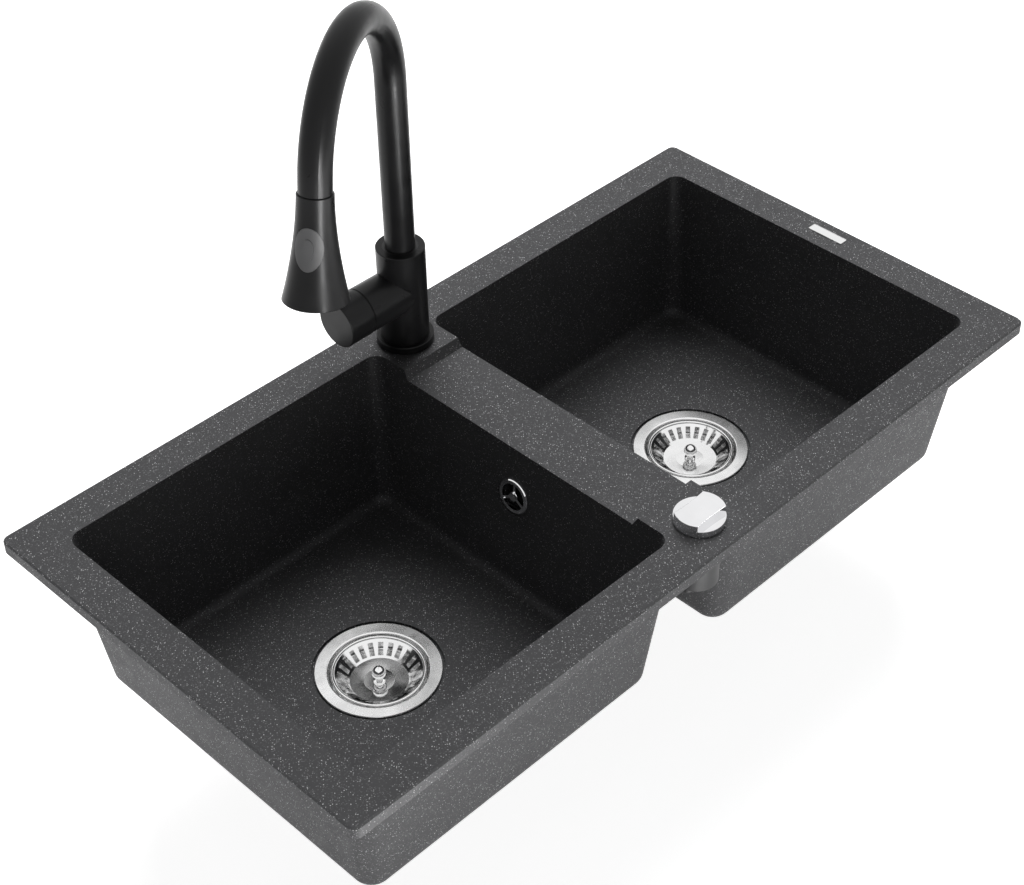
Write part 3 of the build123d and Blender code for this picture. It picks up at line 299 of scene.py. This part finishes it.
@dataclass(frozen=True)
class ThreadedMetal(Finish):
    """Metal with a screw thread cut around an upright axis."""

    pitch: float = 0.0015
    thread_depth: float = 0.0006

    def material(self) -> bpy.types.Material:
        """The finished material."""
        made = self.graph()
        height = made.node("SeparateXYZ", {"Vector": made.place()}).outputs["Z"]
        ridge = made.math("PINGPONG", height, self.pitch / 2)
        made.bump(made.math("DIVIDE", ridge, self.pitch / 2), self.thread_depth)
        return made.material


@dataclass(frozen=True)
class BraidedSleeve(Finish):
    """A woven sleeve, whose strands cross on the hose's own map: U round it and V along it."""

    strands: int = 16
    lay: float = 0.012
    turns_per_lay: float = 4.0
    strand_depth: float = 0.0005

    def material(self) -> bpy.types.Material:
        """The finished material."""
        made = self.graph()
        place = made.node("SeparateXYZ", {"Vector": made.node("TexCoord").outputs["UV"]})
        around = made.math("MULTIPLY", place.outputs["X"], float(self.strands))
        along = made.math("DIVIDE", place.outputs["Y"], self.lay)
        waves = []
        for operation in ("ADD", "SUBTRACT"):
            slant = made.math("MULTIPLY", along, self.turns_per_lay)
            phase = made.math("FRACT", made.math(operation, around, slant))
            waves.append(made.math("PINGPONG", made.math("MULTIPLY", phase, 2.0), 1.0))
        weave = made.math("MAXIMUM", *waves)
        # Painted shade and painted highlight: the colour is darker in the grooves between the strands and
        # lighter on their crowns, following the weave's height.
        made.feed(made.shader.inputs["Base Color"], made.tint(self.color, 0.35, 1.6, weave))
        made.bump(weave, self.strand_depth)
        return made.material


STONE = StoneComposite("stone_composite", (0.082, 0.082, 0.085), 0.55, specular=0.18, grain=1500.0)
MATT_BLACK = Finish(
    "matt_black_coat", (0.011, 0.011, 0.0115), 0.33, specular=0.16, grain=2400.0, grain_depth=0.00002
)
STEEL = Finish("polished_steel", (0.86, 0.86, 0.86), 0.12, 1.0, grain_depth=0.000004, roughness_spread=0.04)
CHROME = Finish("chrome_plating", (0.83, 0.83, 0.84), 0.06, 1.0, grain_depth=0.000002, roughness_spread=0.02)
PLATED = Finish("plated_steel", (0.56, 0.56, 0.55), 0.3, 1.0)
BRASS = Finish("turned_brass", (0.62, 0.43, 0.16), 0.28, 1.0)
RUBBER = Finish("black_rubber", (0.012, 0.012, 0.012), 0.75, specular=0.3, grain_depth=0.00008)
WASTE_PLASTIC = Finish("waste_moulding", (0.022, 0.022, 0.023), 0.45, specular=0.4)
BLACK_PLASTIC = Finish("black_moulding", (0.014, 0.014, 0.0145), 0.4, specular=0.3)
WHITE_PLASTIC = Finish("cartridge_moulding", (0.72, 0.72, 0.68), 0.4)
GREY_PAD = Finish("grey_pad", (0.115, 0.115, 0.117), 0.5, specular=0.3)
GREY_FACE = Finish("grey_face", (0.05, 0.05, 0.051), 0.45, specular=0.4)
THREADED_BRASS = ThreadedMetal("threaded_brass", (0.62, 0.43, 0.16), 0.3, 1.0)
THREADED_PLATED = ThreadedMetal(
    "threaded_plated", (0.56, 0.56, 0.55), 0.3, 1.0, pitch=0.001, thread_depth=0.0004
)
BRAID = BraidedSleeve("hose_braid", (0.05, 0.05, 0.052), 0.5)


def dress(nodes: str, finish: Finish | bpy.types.Material) -> None:
    """Gives CAD nodes a finish.

    Args:
        nodes: Their names, with spaces between.
        finish: The finish, or its material where several groups share it.
    """
    material = finish if isinstance(finish, bpy.types.Material) else finish.material()
    for name in nodes.split():
        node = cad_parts[name]
        node.data.materials.clear()
        node.data.materials.append(material)


def centre_of(node: str) -> Vector:
    """The middle of a CAD node's box."""
    low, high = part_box(node)
    return (low + high) / 2


# ---------------------------------------------------------------- modelling helpers
def start_clean() -> None:
    """Leaves nothing selected, so that an operator acts on the new primitive alone."""
    bpy.ops.object.select_all(action="DESELECT")


def settle(name: str, material: bpy.types.Material, body: Body) -> bpy.types.Object:
    """Finishes the active piece: its place goes into its mesh, and it rides on a body.

    Args:
        name: The piece's name.
        material: Its finish.
        body: The body that it moves with.

    Returns:
        The piece.
    """
    bpy.ops.object.transform_apply(location=True, rotation=True, scale=True)
    piece = bpy.context.object
    piece.name = piece.data.name = name
    piece.data.materials.clear()
    piece.data.materials.append(material)
    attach(piece, body.value)
    return piece


# ---------------------------------------------------------------- sub-assemblies
@dataclass
class Basin:
    """The stone composite basin and the bare plate on its right-hand rim."""

    plate_centre: tuple[float, float] = (0.4026, 0.0)
    plate_size: tuple[float, float, float] = (0.0098, 0.0404, 0.0009)
    plate_corner: float = 0.0012

    def build(self) -> None:
        """Dresses the basin and models the plate."""
        dress("sink_rim sink_left_bowl sink_right_bowl", STONE)
        rim_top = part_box("tap_deck_seal")[0].z
        start_clean()
        width, length, height = self.plate_size
        bpy.ops.mesh.primitive_cube_add(size=1, location=(*self.plate_centre, rim_top + height / 2))
        bpy.context.object.scale = (width, length, height)
        bpy.ops.object.transform_apply(scale=True)
        bpy.ops.object.mode_set(mode="EDIT")
        bpy.ops.mesh.select_all(action="DESELECT")
        bpy.ops.object.mode_set(mode="OBJECT")
        mesh = bpy.context.object.data
        for edge in mesh.edges:
            low, high = (mesh.vertices[i].co for i in edge.vertices)
            edge.select = abs(low.z - high.z) > height / 2
        bpy.ops.object.mode_set(mode="EDIT")
        bpy.ops.mesh.select_mode(type="EDGE")
        bpy.ops.mesh.bevel(offset=self.plate_corner, segments=5)
        bpy.ops.object.mode_set(mode="OBJECT")
        settle("rim_plate", STEEL.material(), Body.FIXED)


@dataclass
class Waste:
    """One strainer waste: a steel flange, a lift-out basket and the moulding under the bowl."""

    side: str

    def build(self) -> None:
        """Dresses the waste's pieces."""
        side = self.side
        middle = centre_of(f"{side}_drain_flange")
        centre = (middle.x, middle.y, 0.0)
        name = f"{side}_turned_flange"
        flange = TurnedMetal(name, (0.9, 0.9, 0.9), 0.24, 1.0, grain_depth=0.000008, centre=centre)
        dress(f"{side}_drain_flange", flange)
        dress(f"{side}_basket {side}_basket_knob", STEEL)
        dress(f"{side}_flange_seal {side}_drain_gasket {side}_basket_plug", RUBBER)
        dress(f"{side}_drain_body", WASTE_PLASTIC)
        dress(f"{side}_drain_screw", THREADED_PLATED)


@dataclass
class Overflow:
    """The overflow: a chromed cover, its seal and housing, and the pipe to the left waste."""

    def build(self) -> None:
        """Dresses the overflow's pieces."""
        dress("overflow_cover overflow_screw", CHROME)
        dress("overflow_seal", RUBBER)
        dress("overflow_body overflow_pipe", WASTE_PLASTIC)


@dataclass
class PopUpControl:
    """The knob that lifts the left basket, with its shaft, nut and cable box."""

    def build(self) -> None:
        """Dresses the control's pieces."""
        dress("control_knob", CHROME)
        dress("control_base", CHROME)
        dress("control_washer", RUBBER)
        dress("control_nut control_box", WASTE_PLASTIC)
        dress("control_spindle", BRASS)


@dataclass
class Tap:
    """The tap's body with its branch, fixings and cartridge."""

    def build(self) -> None:
        """Dresses the fixed pieces of the tap."""
        dress("tap_base_ring tap_body", MATT_BLACK)
        dress("tap_deck_seal tap_fixing_seal cartridge_gasket", RUBBER)
        dress("tap_shank", THREADED_BRASS)
        dress("tap_fixing_washer tap_fixing_nut", PLATED)
        dress("cartridge_nut", BRASS)
        dress("cartridge_base cartridge_housing cartridge_carrier cartridge_stem", WHITE_PLASTIC)
        dress("spout_bush", BLACK_PLASTIC)
        dress("cartridge_pin handle_grub_screw", PLATED)


@dataclass
class Handle:
    """The handle and its lever."""

    def build(self) -> None:
        """Dresses the handle's pieces."""
        dress("handle_knob lever_pin", MATT_BLACK)


@dataclass
class Spout:
    """The spout with the braided spray hose, whose map runs round it and along its length when it is drawn."""

    hose_radius: float = 0.0065
    hose_sides: int = 24
    hose_overlap: float = 0.02
    arch_radius: float = 0.095
    arch_angle: float = math.radians(168)
    arch_rise: float = 0.275
    heading: Vector = Vector((-math.cos(math.radians(30)), -math.sin(math.radians(30)), 0.0))
    straight_parts: int = 4
    bend_parts: int = 32
    stretch: float = 0.004
    stretch_rings: int = 41
    pull: float = 0.165

    def on_arch(self, angle: float) -> Vector:
        """A point of the spout's middle line.

        Args:
            angle: How far round the arch it is, in radians.

        Returns:
            The point.
        """
        tap = centre_of("spout_bush")
        base = Vector((tap.x, tap.y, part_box("tap_deck_seal")[0].z + self.arch_rise))
        out = self.heading * (1 - math.cos(angle)) + Vector((0, 0, 1)) * math.sin(angle)
        return base + self.arch_radius * out

    def braided_run(self, name: str, line: list[Vector], lengths: list[float]) -> bpy.types.Object:
        """A run of the braided hose, closed at both ends.

        Args:
            name: The piece's name.
            line: The points that the hose's middle follows, all in the spout's upright plane.
            lengths: The hose's length up to each point, for the weave's map.

        Returns:
            The piece.
        """
        side = self.heading.cross(Vector((0, 0, 1)))
        sides = self.hose_sides
        corners = []
        for index, point in enumerate(line):
            along = (line[min(index + 1, len(line) - 1)] - line[max(index - 1, 0)]).normalized()
            out = side.cross(along)
            for step in range(sides):
                turn = math.tau * step / sides
                corners.append(point + self.hose_radius * (side * math.cos(turn) + out * math.sin(turn)))
        faces = [list(range(sides)), list(range(len(corners) - 1, len(corners) - sides - 1, -1))]
        places = [(0.0, 0.0)] * (2 * sides)
        for ring in range(len(line) - 1):
            for step in range(sides):
                near, far = ring * sides, (ring + 1) * sides
                after = (step + 1) % sides
                faces.append([near + step, far + step, far + after, near + after])
                low, high = step / sides, (step + 1) / sides
                here, there = lengths[ring], lengths[ring + 1]
                places += [(low, here), (low, there), (high, there), (high, here)]
        mesh = bpy.data.meshes.new(name)
        mesh.from_pydata(corners, [], faces)
        weave = mesh.uv_layers.new(name="weave")
        weave.data.foreach_set("uv", [number for place in places for number in place])
        run = bpy.data.objects.new(name, mesh)
        bpy.context.scene.collection.objects.link(run)
        start_clean()
        run.select_set(True)
        bpy.context.view_layer.objects.active = run
        bpy.ops.object.shade_smooth_by_angle(angle=math.radians(40))
        run.data.materials.append(BRAID.material())
        return run

    def hose(self) -> None:
        """The braided hose: a run inside the spout, and a short run below the spout's end, whose map is laid
        out for the hose drawn out with the spray head.
        """
        tap = centre_of("spout_bush")
        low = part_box("spray_hose")[0].z
        end = self.on_arch(self.arch_angle)
        down = self.heading * math.sin(self.arch_angle) + Vector((0, 0, 1)) * math.cos(self.arch_angle)
        down.normalize()
        bottom, parts = Vector((tap.x, tap.y, low)), self.straight_parts
        upright = [bottom.lerp(self.on_arch(0.0), step / parts) for step in range(parts)]
        bend = self.arch_angle - self.hose_overlap / self.arch_radius
        inside = upright + [self.on_arch(bend * step / self.bend_parts) for step in range(self.bend_parts + 1)]
        lengths = [0.0]
        for first, second in zip(inside, inside[1:]):
            lengths.append(lengths[-1] + (second - first).length)
        fixed = self.braided_run("spray_hose_inside", inside, lengths)
        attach(fixed, Body.SPOUT.value)
        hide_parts("spray_hose")

        rest = self.arch_angle - bend
        line = [self.on_arch(bend + rest * step / parts) for step in range(parts)]
        lengths = [(point - end).length * -1 for point in line]
        for ring in range(self.stretch_rings):
            share = ring / (self.stretch_rings - 1)
            line.append(end + down * self.stretch * share)
            lengths.append(self.stretch * share + self.pull * share**2 * (3 - 2 * share))
        drawn = self.braided_run("spray_hose_drawn", line, lengths)
        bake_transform(drawn)

    def build(self) -> None:
        """Dresses the spout's pieces and models the hose."""
        dress("spout_tube", MATT_BLACK)
        dress("spout_snap_ring", PLATED)
        dress("spout_sleeve", WHITE_PLASTIC)
        dress("hose_connector", BRASS)
        self.hose()


@dataclass
class SprayHead:
    """The pull-down spray head with its pad, button and nozzles."""

    def build(self) -> None:
        """Dresses the spray head's pieces."""
        dress("spray_shell", MATT_BLACK)
        dress("spray_pad spray_button", GREY_PAD)
        dress("spray_face", GREY_FACE)
        dress("spray_nozzles", RUBBER)
        dress("spray_core", WHITE_PLASTIC)
        dress("hose_ferrule", BRASS)


# ---------------------------------------------------------------- studio
class Glow(Enum):
    """What a light panel does: it lights surfaces, or it shows only as a sheen on glossy ones."""

    LIGHT = "light"
    SHEEN = "sheen"


@dataclass(frozen=True)
class Panel:
    """A soft light panel: its place and what it faces, its size and its power in watts."""

    name: str
    place: tuple[float, float, float]
    faces: tuple[float, float, float]
    size: tuple[float, float]
    power: float
    glow: Glow = Glow.LIGHT


@dataclass
class Studio:
    """The camera at the photograph's angle, the lamps, the world and the floor."""

    position: Vector = Vector((-0.99160, -0.97211, 1.17569))
    forward: Vector = Vector((0.539472, 0.534372, -0.650704))
    roll: float = -0.4775
    lens: float = 72.23
    shift: tuple[float, float] = (-0.0225, 0.0033)
    panels: list[Panel] = field(
        default_factory=lambda: [
            Panel("back_panel", (2.3, 2.3, 3.9), (0.0, 0.0, 0.0), (3.6, 3.6), 285.0),
            Panel("low_front_panel", (-0.6, -2.2, -0.12), (0.0, 0.0, -0.1), (2.6, 0.2), 21.0),
            Panel("low_left_panel", (-2.2, -0.5, -0.12), (0.0, 0.0, -0.1), (2.0, 0.2), 12.0),
            Panel("floor_strip", (-0.8, -1.42, -0.235), (-0.8, -1.42, 1.0), (0.16, 2.2), 23.0, Glow.SHEEN),
            Panel("floor_sheet", (0.5, -1.7, -0.235), (0.5, -1.7, 1.0), (1.2, 2.0), 22.0, Glow.SHEEN),
            Panel("front_strip", (-0.75, -2.4, 0.12), (-0.16, 0.08, 0.2), (0.24, 0.8), 62.0, Glow.SHEEN),
            Panel("tube_strip", (-0.3, -1.3, -0.235), (-0.3, -1.3, 1.0), (0.12, 1.2), 46.0, Glow.SHEEN),
        ]
    )
    fill: float = 0.035

    def camera(self) -> None:
        """Makes the camera, which is turned a little about its own axis."""
        data = bpy.data.cameras.new("camera")
        data.sensor_fit = "HORIZONTAL"
        data.lens = self.lens
        data.shift_x, data.shift_y = self.shift
        camera = bpy.data.objects.new("camera", data)
        bpy.context.scene.collection.objects.link(camera)
        level = self.forward.cross(Vector((0, 0, 1))).normalized()
        turn = Matrix.Rotation(-math.radians(self.roll), 3, self.forward)
        right = turn @ level
        up = right.cross(self.forward)
        axes = Matrix((right, up, -self.forward)).transposed()
        camera.matrix_world = Matrix.Translation(self.position) @ axes.to_4x4()
        bpy.context.scene.camera = camera

    def lamp(self, panel: Panel) -> None:
        """Makes one light panel. One that lies on the floor points its long side away from the object.

        Args:
            panel: The panel's place, size, power and glow.
        """
        data = bpy.data.lights.new(panel.name, "AREA")
        data.shape = "RECTANGLE"
        data.size, data.size_y = panel.size
        data.energy = panel.power
        lamp = bpy.data.objects.new(panel.name, data)
        bpy.context.scene.collection.objects.link(lamp)
        lamp.location = panel.place
        towards = (Vector(panel.place) - Vector(panel.faces)).normalized()
        outwards = Vector((*panel.place[:2], 0.0)).normalized()
        across = (outwards if abs(towards.z) > 0.9 else Vector((0, 0, 1))).cross(towards).normalized()
        axes = Matrix((across, towards.cross(across), towards)).transposed()
        lamp.matrix_world = Matrix.Translation(panel.place) @ axes.to_4x4()
        lamp.visible_camera = False
        lamp.visible_glossy = panel.glow is Glow.SHEEN
        lamp.visible_diffuse = panel.glow is Glow.LIGHT

    def seen(self, tree: bpy.types.NodeTree) -> bpy.types.NodeSocket:
        """A mask of the rays that see the white background: the camera's, and reflected and refracted ones.

        Args:
            tree: The nodes that it is added to.

        Returns:
            The mask's socket.
        """
        path = tree.nodes.new("ShaderNodeLightPath")
        total = path.outputs["Is Camera Ray"]
        for other in ("Is Glossy Ray", "Is Transmission Ray"):
            step = tree.nodes.new("ShaderNodeMath")
            step.operation = "MAXIMUM"
            tree.links.new(total, step.inputs[0])
            tree.links.new(path.outputs[other], step.inputs[1])
            total = step.outputs[0]
        return total

    def world(self) -> None:
        """A white world for the background, which lights the object only softly."""
        world = bpy.data.worlds.new("studio")
        bpy.context.scene.world = world
        world.use_nodes = True
        tree = world.node_tree
        background = tree.nodes["Background"]
        background.inputs["Color"].default_value = (1, 1, 1, 1)
        strength = tree.nodes.new("ShaderNodeMapRange")
        strength.inputs["To Min"].default_value = self.fill
        strength.inputs["To Max"].default_value = 1.0
        tree.links.new(self.seen(tree), strength.inputs["Value"])
        tree.links.new(strength.outputs["Result"], background.inputs["Strength"])

    def floor(self) -> None:
        """A pale floor under the wastes, which shows white but keeps the object's shadow."""
        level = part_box("left_drain_body")[0].z - 0.001
        start_clean()
        bpy.ops.mesh.primitive_plane_add(size=12, location=(0, 0, level))
        floor = bpy.context.object
        floor.name = "floor"
        made = Graph("pale_floor")
        made.feed(made.shader.inputs["Base Color"], (0.8, 0.8, 0.8))
        made.feed(made.shader.inputs["Roughness"], 0.9)
        glow = made.node("Emission", {"Color": (1.0, 1.0, 1.0), "Strength": 0.88})
        both = made.node("AddShader", {0: made.shader.outputs[0], 1: glow.outputs[0]})
        mix = made.node("MixShader", {0: self.seen(made.tree), 1: made.shader.outputs[0], 2: both.outputs[0]})
        made.tree.links.new(mix.outputs[0], made.tree.nodes["Material Output"].inputs["Surface"])
        floor.data.materials.append(made.material)

    def build(self) -> None:
        """Builds the whole studio."""
        self.camera()
        for panel in self.panels:
            self.lamp(panel)
        self.world()
        self.floor()
        bpy.context.scene.view_settings.view_transform = "Standard"


def main() -> None:
    """Builds the scene, and notes each assembly as it is dressed."""
    logging.basicConfig(level=logging.INFO, format="%(name)s: %(message)s")
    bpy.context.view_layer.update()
    Studio().build()
    assemblies = (
        Basin(),
        Waste("left"),
        Waste("right"),
        Overflow(),
        PopUpControl(),
        Tap(),
        Handle(),
        Spout(),
        SprayHead(),
    )
    for assembly in assemblies:
        assembly.build()
        log.info("%s", assembly)


if __name__ == "__main__":
    main()
